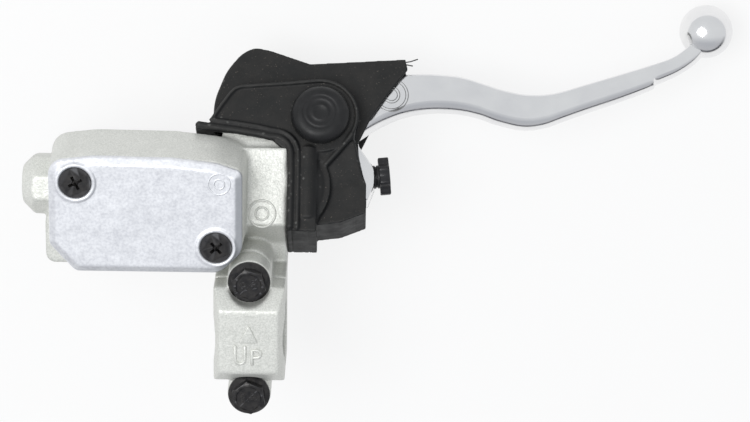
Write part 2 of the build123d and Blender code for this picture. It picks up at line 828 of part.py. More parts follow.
def lever_boot():
    """Rubber boot over the bracket, open to the right where the lever comes out."""
    wall = boot_wall
    back = boot_back
    outside = raised_part(0) + hood(0)
    outside += block((boot_rim_left, boot_band_right), (back, boot_band_front), (-boot_height, boot_height))
    lip = [
        (boot_lip_left, 13.2),
        (boot_lip_left + 0.6, 15.8),
        (-5.3, 14.0),
        (6.1, 12.4),
        (boot_rim_left, 8.5),
        (boot_rim_left, 6.0),
        (6.1, 10.2),
        (-5.3, 12.2),
    ]
    outside += slab(lip, -boot_height, boot_height + boot_lip_height)
    outside += slab(
        [
            (boot_band_right - 2, back + 2.8),
            (boot_skirt_right - 8, back + 4.0),
            (boot_skirt_right, back + 7.2),
            (boot_skirt_right, -3.1),
            (33.8, 3.6),
            (33.3, 11.0),
            (boot_band_right - 2, 12.0),
        ],
        -boot_skirt_height,
        boot_skirt_height,
    )
    outside += slab(
        [
            (boot_band_right - 2, 8.0),
            (33.3, 11.0),
            (37.2, 19.4),
            (42.7, 27.9),
            (48.8, 36.0),
            (48.0, 39.3),
            (boot_band_right - 4, 37.2),
            (boot_band_right - 4, 30.0),
        ],
        -boot_hood_height,
        boot_hood_height,
    )
    bulge_limits = block((boot_band_right - 2, boot_bulge_right), (back, 9.0), (-40, 40))
    bulge = post(
        boot_bulge_radius, -boot_bulge_height, boot_bulge_height, boot_bulge_x, boot_bulge_across
    )
    outside += bulge & bulge_limits
    dome_top = boot_height + boot_dome_height
    outside += post(boot_dome_diameter / 2, boot_height - 1, dome_top, pivot_x, pivot_across)
    # Hollow, with the casting inside on the left and the lever on the right
    inside = raised_part(wall) + hood(wall) + boot_mouth(wall)
    inside += block(
        (boot_rim_left - 1, boot_band_right - wall),
        (back + wall, boot_band_front),
        (wall - boot_height, boot_height - wall),
    )
    inside += slab(
        [
            (boot_band_right - wall - 1, back + 2.8 + wall),
            (boot_skirt_right - 8, back + 4.0 + wall),
            (boot_skirt_right + 1, back + 7.7 + wall),
            (boot_skirt_right + 20, 5.0),
            (boot_band_right - wall - 1, 12.0),
        ],
        wall - boot_skirt_height,
        boot_skirt_height - wall,
    )
    inside += slab(
        [
            (boot_band_right - wall - 3, 4.0),
            (boot_skirt_right + 20, 4.0),
            (boot_skirt_right + 20, 40.2 - wall),
            (boot_band_right - 1, 36.5 - wall),
            (boot_band_right - wall - 3, 31.0),
        ],
        wall - boot_hood_height,
        boot_hood_height - wall,
    )
    inside += bulge_limits & post(
        boot_bulge_radius - wall,
        wall - boot_bulge_height,
        boot_bulge_height - wall,
        boot_bulge_x,
        boot_bulge_across,
    )
    inside += post(
        pivot_head_diameter / 2 + 1, boot_height - 3, dome_top - wall, pivot_x, pivot_across
    )
    nut_room = pivot_nut_across_flats / 2 / cos(pi / 6) + 1
    inside += post(nut_room, -boot_height - 4, 3 - boot_height, pivot_x, pivot_across)
    behind_lip = slab(
        [(-40, 14.8), (-5.3, 12.2), (6.1, 10.2), (boot_rim_left, 6.0), (boot_rim_left, -40), (-40, -40)],
        -40,
        40,
    )
    return LEVER_PLACE * (outside - inside - behind_lip)


NODES = {
    "body_casting": body_casting,
    "reservoir_cover": reservoir_cover,
    "cover_screws": cover_screws,
    "reservoir_diaphragm": reservoir_diaphragm,
    "float_plate": float_plate,
    "clamp_cap": clamp_cap,
    "clamp_bolts": clamp_bolts,
    "pivot_bolt": pivot_bolt,
    "pivot_nut": pivot_nut,
    "brake_lever": brake_lever,
    "lever_bush": lever_bush,
    "adjuster_sleeve": adjuster_sleeve,
    "push_pin": push_pin,
    "adjuster_knob": adjuster_knob,
    "piston": piston,
    "secondary_seal": secondary_seal,
    "primary_cup": primary_cup,
    "spring_seat": spring_seat,
    "return_spring": return_spring,
    "stop_washer": stop_washer,
    "snap_ring": snap_ring,
    "dust_boot": dust_boot,
    "lever_boot": lever_boot,
}

os.makedirs("parts", exist_ok=True)
for node, make in NODES.items():
    export_step(make(), f"parts/{node}.step")
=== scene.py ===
# Front brake master cylinder: its finishes and soft shapes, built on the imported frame.
import bpy
import bmesh
import json
from math import cos, pi, radians, sin
import mathutils
from mathutils import Matrix, Vector


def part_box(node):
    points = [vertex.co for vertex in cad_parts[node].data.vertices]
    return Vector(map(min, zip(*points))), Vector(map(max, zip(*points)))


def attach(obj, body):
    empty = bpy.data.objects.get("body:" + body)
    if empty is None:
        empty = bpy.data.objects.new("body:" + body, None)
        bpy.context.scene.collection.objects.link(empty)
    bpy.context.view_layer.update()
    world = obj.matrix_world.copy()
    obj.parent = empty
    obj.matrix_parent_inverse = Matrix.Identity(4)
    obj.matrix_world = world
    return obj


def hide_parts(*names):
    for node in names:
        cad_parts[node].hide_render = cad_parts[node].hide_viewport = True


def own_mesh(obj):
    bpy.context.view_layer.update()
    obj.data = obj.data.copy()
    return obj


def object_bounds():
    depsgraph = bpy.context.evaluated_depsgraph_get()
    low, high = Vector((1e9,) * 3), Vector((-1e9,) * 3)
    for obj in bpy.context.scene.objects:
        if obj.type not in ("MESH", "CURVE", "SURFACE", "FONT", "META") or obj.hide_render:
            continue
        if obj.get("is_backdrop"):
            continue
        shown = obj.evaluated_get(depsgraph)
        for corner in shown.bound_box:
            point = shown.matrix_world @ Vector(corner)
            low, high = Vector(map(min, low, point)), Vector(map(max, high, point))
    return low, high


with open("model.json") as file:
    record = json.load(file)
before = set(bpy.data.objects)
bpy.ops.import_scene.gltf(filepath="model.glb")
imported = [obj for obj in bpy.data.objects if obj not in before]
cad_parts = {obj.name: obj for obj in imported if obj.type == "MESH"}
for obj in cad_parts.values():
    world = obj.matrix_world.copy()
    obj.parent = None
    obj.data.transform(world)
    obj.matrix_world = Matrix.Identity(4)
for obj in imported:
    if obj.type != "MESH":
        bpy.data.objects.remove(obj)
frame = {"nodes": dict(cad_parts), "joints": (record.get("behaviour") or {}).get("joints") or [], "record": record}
cad_low, cad_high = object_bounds()
MM = 0.001


# ---------------------------------------------------------------- table, lamp and camera
# The part lies on a plain pale table under one large soft lamp in a softly lit room. A dark curtain stands low
# behind the rider's side, which polished metal shows as a thin dark line.
scene = bpy.context.scene
scene.view_settings.view_transform = "Standard"

world = bpy.data.worlds.new("soft_room")
scene.world = world
world.use_nodes = True
room = world.node_tree
room.nodes.clear()
room_out = room.nodes.new("ShaderNodeOutputWorld")
lit = room.nodes.new("ShaderNodeBackground")
seen = room.nodes.new("ShaderNodeBackground")
seen.inputs["Color"].default_value = (1, 1, 1, 1)
seen.inputs["Strength"].default_value = 1.0
path = room.nodes.new("ShaderNodeLightPath")
pick = room.nodes.new("ShaderNodeMixShader")
where = room.nodes.new("ShaderNodeTexCoord")
apart = room.nodes.new("ShaderNodeSeparateXYZ")
height = room.nodes.new("ShaderNodeValToRGB")
height.color_ramp.elements[0].position = 0.02
height.color_ramp.elements[0].color = (1.0, 1.0, 1.0, 1)
height.color_ramp.elements[1].position = 0.75
height.color_ramp.elements[1].color = (0.62, 0.64, 0.68, 1)
curtain_low = height.color_ramp.elements.new(0.10)
curtain_low.color = (0.05, 0.055, 0.07, 1)
curtain_high = height.color_ramp.elements.new(0.20)
curtain_high.color = (0.05, 0.055, 0.07, 1)
curtain_end = height.color_ramp.elements.new(0.29)
curtain_end.color = (0.66, 0.67, 0.70, 1)
side = room.nodes.new("ShaderNodeMapRange")
side.inputs["From Min"].default_value = -0.6
side.inputs["From Max"].default_value = -0.15
curtain = room.nodes.new("ShaderNodeMix")
curtain.data_type = "RGBA"
curtain.inputs["B"].default_value = (0.92, 0.94, 0.96, 1)
lit.inputs["Strength"].default_value = 0.8
room.links.new(where.outputs["Generated"], apart.inputs["Vector"])
room.links.new(apart.outputs["Z"], height.inputs["Fac"])
room.links.new(apart.outputs["Y"], side.inputs["Value"])
room.links.new(side.outputs["Result"], curtain.inputs["Factor"])
room.links.new(height.outputs["Color"], curtain.inputs["A"])
room.links.new(curtain.outputs["Result"], lit.inputs["Color"])
room.links.new(path.outputs["Is Camera Ray"], pick.inputs["Fac"])
room.links.new(lit.outputs["Background"], pick.inputs[1])
room.links.new(seen.outputs["Background"], pick.inputs[2])
room.links.new(pick.outputs["Shader"], room_out.inputs["Surface"])


def soft_lamp(name, place, aim, width, watts):
    """Large square lamp, pointed at a place on the part."""
    data = bpy.data.lights.new(name, "AREA")
    data.size = width
    data.energy = watts
    lamp = bpy.data.objects.new(name, data)
    lamp.location = place
    lamp.rotation_mode = "QUATERNION"
    lamp.rotation_quaternion = (Vector(aim) - Vector(place)).to_track_quat("-Z", "Y")
    scene.collection.objects.link(lamp)


part_middle = (cad_low + cad_high) / 2
soft_lamp("lamp_above", (-0.30, 0.30, 0.90), part_middle, 0.55, 6.0)


def new_material(name):
    """Empty material with its main shader; returns material, node tree and shader."""
    material = bpy.data.materials.new(name)
    material.use_nodes = True
    tree = material.node_tree
    return material, tree, tree.nodes["Principled BSDF"]


table_material, tree, shader = new_material("pale_table")
tree.nodes.clear()
paper = tree.nodes.new("ShaderNodeBsdfDiffuse")
paper.inputs["Color"].default_value = (0.78, 0.78, 0.78, 1)
glow = tree.nodes.new("ShaderNodeEmission")
glow.inputs["Strength"].default_value = 1.0
blend_table = tree.nodes.new("ShaderNodeMixShader")
table_path = tree.nodes.new("ShaderNodeLightPath")
share = tree.nodes.new("ShaderNodeMath")
share.operation = "MULTIPLY"
share.inputs[1].default_value = 0.8
table_out = tree.nodes.new("ShaderNodeOutputMaterial")
seen_or_mirrored = tree.nodes.new("ShaderNodeMath")
seen_or_mirrored.operation = "MAXIMUM"
tree.links.new(table_path.outputs["Is Camera Ray"], seen_or_mirrored.inputs[0])
tree.links.new(table_path.outputs["Is Glossy Ray"], seen_or_mirrored.inputs[1])
tree.links.new(seen_or_mirrored.outputs["Value"], share.inputs[0])
tree.links.new(share.outputs["Value"], blend_table.inputs["Fac"])
tree.links.new(paper.outputs["BSDF"], blend_table.inputs[1])
tree.links.new(glow.outputs["Emission"], blend_table.inputs[2])
tree.links.new(blend_table.outputs["Shader"], table_out.inputs["Surface"])
table_mesh = bpy.data.meshes.new("table")
reach = 6.0
table_height = cad_low.z - 2 * MM
corners = [(-reach, -reach), (reach, -reach), (reach, reach), (-reach, reach)]
table_mesh.from_pydata([(x, y, table_height) for x, y in corners], [], [(0, 1, 2, 3)])
table_top = bpy.data.objects.new("table", table_mesh)
table_mesh.materials.append(table_material)
scene.collection.objects.link(table_top)
table_top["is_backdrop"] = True

# Long lens, held above the cover and leaning forward over the reservoir's front wall.
camera_lean = radians(20.0)
camera_roll = radians(0.85)
camera_distance = 1.0
aim_along, aim_up = 0.0390, 0.0372
toward = Vector((0, sin(camera_lean), cos(camera_lean)))
upright = Vector((0, cos(camera_lean), -sin(camera_lean)))
rightward = Vector((1, 0, 0))
aim = rightward * aim_along + upright * aim_up
rolled_right = rightward * cos(camera_roll) + upright * sin(camera_roll)
rolled_up = upright * cos(camera_roll) - rightward * sin(camera_roll)
camera_data = bpy.data.cameras.new("camera")
camera_data.lens = 151.2
camera_data.clip_start = 0.01
camera_data.clip_end = 50
camera = bpy.data.objects.new("camera", camera_data)
turn = Matrix((rolled_right, rolled_up, toward)).transposed()
camera.matrix_world = Matrix.Translation(aim + toward * camera_distance) @ turn.to_4x4()
scene.collection.objects.link(camera)
scene.camera = camera


# ---------------------------------------------------------------- body casting
# One aluminium sand casting: barrel, reservoir bowl, lever bracket and the fixed half of
# the bar clamp. It is painted light warm grey; the rough cast skin shows through the paint.
def ramp(tree, source, low, high, dark, light):
    """Turn a grey value into a colour between two ends."""
    node = tree.nodes.new("ShaderNodeValToRGB")
    node.color_ramp.elements[0].position = low
    node.color_ramp.elements[0].color = (*dark, 1)
    node.color_ramp.elements[1].position = high
    node.color_ramp.elements[1].color = (*light, 1)
    tree.links.new(source, node.inputs["Fac"])
    return node.outputs["Color"]


def grain(tree, size, detail=4.0, roughness=0.55):
    """Noise whose lumps are about size metres across; returns its grey value."""
    place = tree.nodes.new("ShaderNodeTexCoord")
    noise = tree.nodes.new("ShaderNodeTexNoise")
    noise.inputs["Scale"].default_value = 1.0 / size
    noise.inputs["Detail"].default_value = detail
    noise.inputs["Roughness"].default_value = roughness
    tree.links.new(place.outputs["Object"], noise.inputs["Vector"])
    return noise.outputs["Fac"]


def bumps(tree, shader, source, depth, strength, under=None):
    """Raise the surface by a grey value; depth is in metres."""
    node = tree.nodes.new("ShaderNodeBump")
    node.inputs["Distance"].default_value = depth
    node.inputs["Strength"].default_value = strength
    tree.links.new(source, node.inputs["Height"])
    if under is not None:
        tree.links.new(under, node.inputs["Normal"])
    tree.links.new(node.outputs["Normal"], shader.inputs["Normal"])
    return node.outputs["Normal"]


# Mask of convex edges. The screws use it for worn edges; on the boot it carries painted highlight.
def convex_edges(tree, low, high):
    """Grey value that is high on outside edges and low in corners."""
    geometry = tree.nodes.new("ShaderNodeNewGeometry")
    node = tree.nodes.new("ShaderNodeMapRange")
    node.inputs["From Min"].default_value = low
    node.inputs["From Max"].default_value = high
    tree.links.new(geometry.outputs["Pointiness"], node.inputs["Value"])
    return node.outputs["Result"]


def facing(tree, direction, low, high):
    """Grey value that rises as the surface turns towards a direction."""
    geometry = tree.nodes.new("ShaderNodeNewGeometry")
    dot = tree.nodes.new("ShaderNodeVectorMath")
    dot.operation = "DOT_PRODUCT"
    dot.inputs[1].default_value = direction
    node = tree.nodes.new("ShaderNodeMapRange")
    node.inputs["From Min"].default_value = low
    node.inputs["From Max"].default_value = high
    tree.links.new(geometry.outputs["Normal"], dot.inputs[0])
    tree.links.new(dot.outputs["Value"], node.inputs["Value"])
    return node.outputs["Result"]


def blend_colour(tree, factor, first, second):
    """Mix two colour outputs by a grey value."""
    node = tree.nodes.new("ShaderNodeMix")
    node.data_type = "RGBA"
    tree.links.new(factor, node.inputs["Factor"])
    tree.links.new(first, node.inputs["A"])
    tree.links.new(second, node.inputs["B"])
    return node.outputs["Result"]


paint, tree, shader = new_material("cast_paint")
shader.inputs["Metallic"].default_value = 0.3
mottle = ramp(tree, grain(tree, 9 * MM), 0.3, 0.7, (0.60, 0.61, 0.57), (0.68, 0.685, 0.645))
speck = ramp(tree, grain(tree, 0.45 * MM, 2.0), 0.38, 0.64, (0.46, 0.47, 0.44), (0.86, 0.86, 0.83))
half_and_half = tree.nodes.new("ShaderNodeMix")
half_and_half.data_type = "RGBA"
half_and_half.inputs["Factor"].default_value = 0.35
tree.links.new(mottle, half_and_half.inputs["A"])
tree.links.new(speck, half_and_half.inputs["B"])
tree.links.new(half_and_half.outputs["Result"], shader.inputs["Base Color"])
sheen = ramp(tree, grain(tree, 1.2 * MM), 0.3, 0.7, (0.36, 0.36, 0.36), (0.52, 0.52, 0.52))
tree.links.new(sheen, shader.inputs["Roughness"])
skin = bumps(tree, shader, grain(tree, 0.75 * MM, 3.0), 0.16 * MM, 0.75)
bumps(tree, shader, grain(tree, 4.0 * MM, 2.0), 0.25 * MM, 0.35, skin)


def copy_of(node, name):
    """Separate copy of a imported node's mesh."""
    piece = frame["nodes"][node].copy()
    piece.data = frame["nodes"][node].data.copy()
    for key in list(piece.keys()):
        del piece[key]
    piece.name = name
    piece.parent = None
    piece.data.materials.clear()
    scene.collection.objects.link(piece)
    return piece


def settle(piece):
    """Turn a piece's modifiers into its plain mesh."""
    bpy.context.view_layer.update()
    shape = piece.evaluated_get(bpy.context.evaluated_depsgraph_get())
    mesh = bpy.data.meshes.new_from_object(shape)
    piece.modifiers.clear()
    piece.data = mesh
    return piece


def soften(piece, cell, passes, factor=0.5):
    """Rebuild a closed shape in small even cells and round its edges, as a casting has them."""
    rebuild = piece.modifiers.new("rebuild", "REMESH")
    rebuild.mode = "VOXEL"
    rebuild.voxel_size = cell * 1.0
    rebuild.use_smooth_shade = True
    rounding = piece.modifiers.new("rounding", "SMOOTH")
    rounding.iterations = passes
    rounding.factor = factor
    settle(piece)
    for face in piece.data.polygons:
        face.use_smooth = True
    return piece


def finish_piece(piece, material, body, slot, *nodes):
    """Give a piece its finish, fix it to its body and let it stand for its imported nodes."""
    piece.data.materials.clear()
    piece.data.materials.append(material)
    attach(piece, body)
    if nodes:
        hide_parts(*nodes)
    return piece


def mesh_piece(name, points, faces, place=Matrix.Identity(4), smooth_angle=35):
    """Mesh from points in millimetres, set in place, smooth but for its sharp edges."""
    mesh = bpy.data.meshes.new(name)
    mesh.from_pydata([place @ (Vector(p) * MM) for p in points], [], faces)
    tidy = bmesh.new()
    tidy.from_mesh(mesh)
    bmesh.ops.recalc_face_normals(tidy, faces=tidy.faces)
    tidy.to_mesh(mesh)
    tidy.free()
    for face in mesh.polygons:
        face.use_smooth = True
    mesh.set_sharp_from_angle(angle=radians(smooth_angle))
    piece = bpy.data.objects.new(name, mesh)
    scene.collection.objects.link(piece)
    return piece


def turned(profile, steps=72):
    """Points and faces of a round shape: profile is (radius, height) from bottom to top."""
    points, faces = [], []
    for radius, high in profile:
        for i in range(steps):
            angle = 2 * pi * i / steps
            points.append((radius * cos(angle), radius * sin(angle), high))
    for ring in range(len(profile) - 1):
        for i in range(steps):
            j = (i + 1) % steps
            a, b = ring * steps, (ring + 1) * steps
            faces.append((a + i, a + j, b + j, b + i))
    faces.append(tuple(range(steps - 1, -1, -1)))
    faces.append(tuple(range((len(profile) - 1) * steps, len(profile) * steps)))
    return points, faces


casting = soften(copy_of("body_casting", "casting"), 0.45 * MM, 16)
finish_piece(casting, paint, "body", "body_paint", "body_casting")

# The barrel's axis and the leaning plane that the lever works in
outlet = [m for m in frame["record"]["mounts"] if m["name"] == "outlet_port"][0]
hinge = [j for j in frame["joints"] if j["name"] == "lever_pivot"][0]
piston_low, piston_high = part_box("piston")
barrel_y = (piston_low[1] + piston_high[1]) / 2
barrel_z = (piston_low[2] + piston_high[2]) / 2
plane_up = -Vector(hinge["axis"]).normalized()
plane_across = plane_up.cross(Vector((1, 0, 0)))
lever_plane = Matrix((Vector((1, 0, 0)), plane_across, plane_up)).transposed().to_4x4()
lever_plane.translation = Vector((0, barrel_y, barrel_z))
pivot = lever_plane.inverted() @ Vector(hinge["pos_m"]) / MM

# Thread inside the hose outlet
bare_metal, tree, shader = new_material("cut_metal")
shader.inputs["Metallic"].default_value = 1.0
shader.inputs["Roughness"].default_value = 0.28
cut = ramp(tree, grain(tree, 2 * MM), 0.3, 0.7, (0.50, 0.50, 0.51), (0.64, 0.64, 0.65))
tree.links.new(cut, shader.inputs["Base Color"])
bumps(tree, shader, grain(tree, 0.3 * MM), 0.02 * MM, 0.3)
thread_profile = []
for turn_number in range(9):
    thread_profile += [(4.72, turn_number), (4.25, turn_number + 0.5)]
thread_profile += [(4.72, 9.0), (5.3, 9.0), (5.3, 0.0), (4.72, 0.0)]
outlet_face_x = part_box("body_casting")[0].x
along_x = Matrix.Rotation(pi / 2, 4, "Y")
thread_mouth = (outlet_face_x + 1.4 * MM, outlet["pos_m"][1], outlet["pos_m"][2])
thread_place = Matrix.Translation(thread_mouth) @ along_x
thread_points, thread_faces = turned(thread_profile)
thread = mesh_piece("outlet_thread", thread_points, thread_faces[:-2], thread_place, 20)
finish_piece(thread, bare_metal, "body", "stainless")


# ---------------------------------------------------------------- reservoir cover
# Cover of tumbled raw aluminium, cast with bevelled edges and two raised seats for its
# screws. A plain raised ring stands where a maker would put a mark.
cover_metal, tree, shader = new_material("tumbled_aluminium")
shader.inputs["Metallic"].default_value = 0.45
cloud = ramp(tree, grain(tree, 6 * MM, 6.0, 0.65), 0.32, 0.68, (0.62, 0.63, 0.665), (0.76, 0.77, 0.80))
pits = ramp(tree, grain(tree, 0.9 * MM, 3.0), 0.36, 0.60, (0.57, 0.58, 0.62), (0.84, 0.85, 0.875))
mixed = tree.nodes.new("ShaderNodeMix")
mixed.data_type = "RGBA"
mixed.inputs["Factor"].default_value = 0.4
tree.links.new(cloud, mixed.inputs["A"])
tree.links.new(pits, mixed.inputs["B"])
bright = tree.nodes.new("ShaderNodeRGB")
bright.outputs[0].default_value = (0.80, 0.81, 0.84, 1)
edge = blend_colour(tree, convex_edges(tree, 0.515, 0.56), mixed.outputs["Result"], bright.outputs[0])
# Painted shade: faces turned towards +X and -Y (the right and lower bevels) are darkened in the colour.
painted_shade_bevel = tree.nodes.new("ShaderNodeRGB")
painted_shade_bevel.outputs[0].default_value = (0.33, 0.345, 0.37, 1)
shaded_bevels = blend_colour(tree, facing(tree, (0.9, -0.42, 0.0), 0.12, 0.55), edge, painted_shade_bevel.outputs[0])
tree.links.new(shaded_bevels, shader.inputs["Base Color"])
polish = ramp(tree, grain(tree, 3 * MM), 0.3, 0.7, (0.34, 0.34, 0.34), (0.50, 0.50, 0.50))
tree.links.new(polish, shader.inputs["Roughness"])
fine = bumps(tree, shader, grain(tree, 0.7 * MM, 3.0), 0.06 * MM, 0.5)
bumps(tree, shader, grain(tree, 3.5 * MM), 0.15 * MM, 0.4, fine)

cover = soften(copy_of("reservoir_cover", "cover"), 0.28 * MM, 5)
finish_piece(cover, cover_metal, "body", "raw_cast", "reservoir_cover")


def ring(name, place, radius, width, rise, steps=64):
    """Low raised ring with a rounded back, for a cast mark or a screw seat."""
    profile = []
    for i in range(9):
        angle = pi * i / 8
        profile.append((radius + width / 2 * cos(angle), rise * sin(angle)))
    points, faces = turned([*profile, (radius - width / 2, -0.3), (radius + width / 2, -0.3)], steps)
    faces = faces[:-2]
    last = (len(profile) + 1) * steps
    for i in range(steps):
        j = (i + 1) % steps
        faces.append((last + i, last + j, j, i))
    return mesh_piece(name, points, faces, place, 60)


cover_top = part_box("reservoir_cover")[1].z
plateau = cover_top - 0.35 * MM
screw_low, screw_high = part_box("cover_screws")
head_radius = 5.0 * MM
screw_places = [
    Vector((screw_low.x + head_radius, screw_high.y - head_radius, 0)),
    Vector((screw_high.x - head_radius, screw_low.y + head_radius, 0)),
]
for number, place in enumerate(screw_places):
    seat_place = Matrix.Translation((place.x, place.y, cover_top - 0.25 * MM))
    seat = ring(f"screw_seat_{number + 1}", seat_place, 5.75, 0.9, 0.25)
    finish_piece(seat, cover_metal, "body", "raw_cast")
mark_place = (screw_places[1].x + 1.0 * MM, screw_places[0].y + 0.2 * MM, plateau)
for number, radius in enumerate((3.4, 1.6)):
    mark = ring(f"cover_ring_{number + 1}", Matrix.Translation(mark_place), radius, 0.55, 0.16)
    finish_piece(mark, cover_metal, "body", "raw_cast")
web_slope = Matrix.Rotation(radians(-20), 4, "X")
web_mark_place = Matrix.Translation((3.4 * MM, 36.4 * MM, -4.75 * MM)) @ web_slope
for number, radius in enumerate((4.2, 2.0)):
    mark = ring(f"web_ring_{number + 1}", web_mark_place, radius, 0.8, 0.5)
    finish_piece(mark, paint, "body", "body_paint")


# ---------------------------------------------------------------- cover screws
# Two black countersunk screws with a cross recess, their heads level with the cover.
black_steel, tree, shader = new_material("blackened_steel")
shader.inputs["Metallic"].default_value = 0.5
oxide = ramp(tree, grain(tree, 1.6 * MM, 5.0), 0.3, 0.75, (0.012, 0.012, 0.014), (0.045, 0.042, 0.04))
rubbed = tree.nodes.new("ShaderNodeRGB")
rubbed.outputs[0].default_value = (0.11, 0.11, 0.115, 1)
black_edge = blend_colour(tree, convex_edges(tree, 0.53, 0.62), oxide, rubbed.outputs[0])
tree.links.new(black_edge, shader.inputs["Base Color"])
satin = ramp(tree, grain(tree, 1.0 * MM), 0.3, 0.7, (0.27, 0.27, 0.27), (0.44, 0.44, 0.44))
tree.links.new(satin, shader.inputs["Roughness"])
bumps(tree, shader, grain(tree, 0.35 * MM), 0.03 * MM, 0.4)


def cut_away(piece, cutter):
    """Take one closed shape out of another."""
    cut_step = piece.modifiers.new("cut", "BOOLEAN")
    cut_step.object = cutter
    cut_step.solver = "EXACT"
    cut_step.use_self = True
    settle(piece)
    bpy.data.objects.remove(cutter)
    for face in piece.data.polygons:
        face.use_smooth = True
    piece.data.set_sharp_from_angle(angle=radians(35))
    return piece


def tapered_bar(long_top, long_foot, wide_top, wide_foot, depth, angle):
    """Points and faces of one blade of the cross recess, centred on the screw's axis."""
    points, faces = [], [(0, 1, 2, 3), (7, 6, 5, 4), (0, 4, 5, 1), (1, 5, 6, 2), (2, 6, 7, 3), (3, 7, 4, 0)]
    for long, wide, high in ((long_top, wide_top, 0.6), (long_foot, wide_foot, -depth)):
        for sx, sy in ((-1, -1), (1, -1), (1, 1), (-1, 1)):
            x, y = sx * long / 2, sy * wide / 2
            points.append((x * cos(angle) - y * sin(angle), x * sin(angle) + y * cos(angle), high))
    return points, faces


screw_turns = (radians(28), radians(42))
for number, place in enumerate(screw_places):
    spot = Matrix.Translation((place.x, place.y, cover_top))
    head_profile = [(2.4, -14.6), (2.4, -2.5), (4.75, -0.55), (4.95, -0.35), (4.95, -0.15), (4.8, 0.0)]
    head = mesh_piece(f"cover_screw_{number + 1}", *turned(head_profile), spot)
    for quarter in (0, 1):
        bar = tapered_bar(5.2, 2.8, 1.0, 0.7, 2.1, screw_turns[number] + quarter * pi / 2)
        cut_away(head, mesh_piece("recess", *bar, spot))
    core = mesh_piece("recess", *turned([(0.5, -2.3), (1.2, 0.6)], 24), spot)
    cut_away(head, core)
    nodes = ("cover_screws",) if number == 0 else ()
    finish_piece(head, black_steel, "body", "black_steel", *nodes)


# ---------------------------------------------------------------- clamp cap
# Loose half of the clamp, cast like the body. Its face has a raised arrow and the letters
# UP, which show which way round it goes.
cap = soften(copy_of("clamp_cap", "cap"), 0.35 * MM, 22)
finish_piece(cap, paint, "body", "body_paint", "clamp_cap")
cap_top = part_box("clamp_cap")[1].z


def prism(outline, low, high):
    """Points and faces of a flat plate with the given outline."""
    count = len(outline)
    points = [(x, y, low) for x, y in outline] + [(x, y, high) for x, y in outline]
    faces = [tuple(range(count - 1, -1, -1)), tuple(range(count, 2 * count))]
    for i in range(count):
        j = (i + 1) % count
        faces.append((i, j, count + j, count + i))
    return points, faces


def rounded(piece, width, segments=3):
    """Round a piece's sharp edges."""
    step = piece.modifiers.new("rounded", "BEVEL")
    step.width = width * MM
    step.segments = segments
    step.limit_method = "ANGLE"
    step.angle_limit = radians(30)
    settle(piece)
    for face in piece.data.polygons:
        face.use_smooth = True
    piece.data.set_sharp_from_angle(angle=radians(40))
    return piece


def bead(line, radius, steps=12):
    """Points and faces of a round bead that follows a line of points, with rounded ends."""
    centres = [Vector(point) for point in line]
    first, last = centres[0] - centres[1], centres[-1] - centres[-2]
    centres.insert(0, centres[0] + first.normalized() * radius * 0.8)
    centres.append(centres[-1] + last.normalized() * radius * 0.8)
    thickness = [radius * 0.35, *[radius] * len(line), radius * 0.35]
    points, faces = [], []
    count = len(centres)
    for i, centre in enumerate(centres):
        ahead = (centres[min(i + 1, count - 1)] - centres[max(i - 1, 0)]).normalized()
        sideways = ahead.cross(Vector((0, 0, 1))).normalized()
        upward = sideways.cross(ahead)
        for k in range(steps):
            angle = 2 * pi * k / steps
            out = sideways * cos(angle) + upward * sin(angle)
            points.append(centre + out * thickness[i])
    for i in range(count - 1):
        for k in range(steps):
            m = (k + 1) % steps
            faces.append((i * steps + k, i * steps + m, (i + 1) * steps + m, (i + 1) * steps + k))
    faces.append(tuple(range(steps - 1, -1, -1)))
    faces.append(tuple(range((count - 1) * steps, count * steps)))
    return points, faces


def arc(centre, radius, start, end, steps=14):
    """Points on an arc; angles in degrees."""
    return [
        (centre[0] + radius * cos(radians(start + (end - start) * i / steps)),
         centre[1] + radius * sin(radians(start + (end - start) * i / steps)))
        for i in range(steps + 1)
    ]


arrow = mesh_piece(
    "up_arrow",
    *prism([(-2.9, 1.3), (2.9, 1.3), (0.35, 6.9), (-0.35, 6.9)], -0.4, 0.55),
    Matrix.Translation((0, -0.4 * MM, cap_top)),
)
finish_piece(rounded(arrow, 0.45), paint, "body", "body_paint")
letter_lines = {
    "letter_u": [(-4.1, 0.3), (-4.1, -3.6), *arc((-2.6, -4.1), 1.5, 190, 350, 8), (-1.1, -3.6), (-1.1, 0.3)],
    "letter_p": [(1.2, -5.9), (1.2, -1.0), (2.4, -1.0), *arc((2.6, -2.25), 1.25, 80, -80, 8), (1.2, -3.5)],
}
for name, line in letter_lines.items():
    stroke = bead([(x, y, 0.0) for x, y in line], 0.55)
    letter = mesh_piece(name, *stroke, Matrix.Translation((0, -0.6 * MM, cap_top)), 60)
    finish_piece(letter, paint, "body", "body_paint")


# ---------------------------------------------------------------- clamp bolts
# Two black flanged hexagon bolts with a chamfered, slightly hollow head and the digits of
# their strength grade.
def letters(name, words, size, place, rise):
    """Raised letters in millimetres, as a mesh."""
    data = bpy.data.curves.new(name, "FONT")
    data.body = words
    data.size = size
    data.align_x = "CENTER"
    data.align_y = "CENTER"
    data.extrude = rise
    data.bevel_depth = rise * 0.35
    data.bevel_resolution = 2
    flat = bpy.data.objects.new(name, data)
    scene.collection.objects.link(flat)
    bpy.context.view_layer.update()
    mesh = bpy.data.meshes.new_from_object(flat.evaluated_get(bpy.context.evaluated_depsgraph_get()))
    bpy.data.objects.remove(flat)
    mesh.transform(place @ Matrix.Scale(MM, 4))
    piece = bpy.data.objects.new(name, mesh)
    scene.collection.objects.link(piece)
    return piece


bolt_low, bolt_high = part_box("clamp_bolts")
flange_radius = (bolt_high.x - bolt_low.x) / 2 / MM
head_top_z = bolt_high.z / MM - 0.5
hex_flats = 4.8
seat_z = head_top_z - 4.5


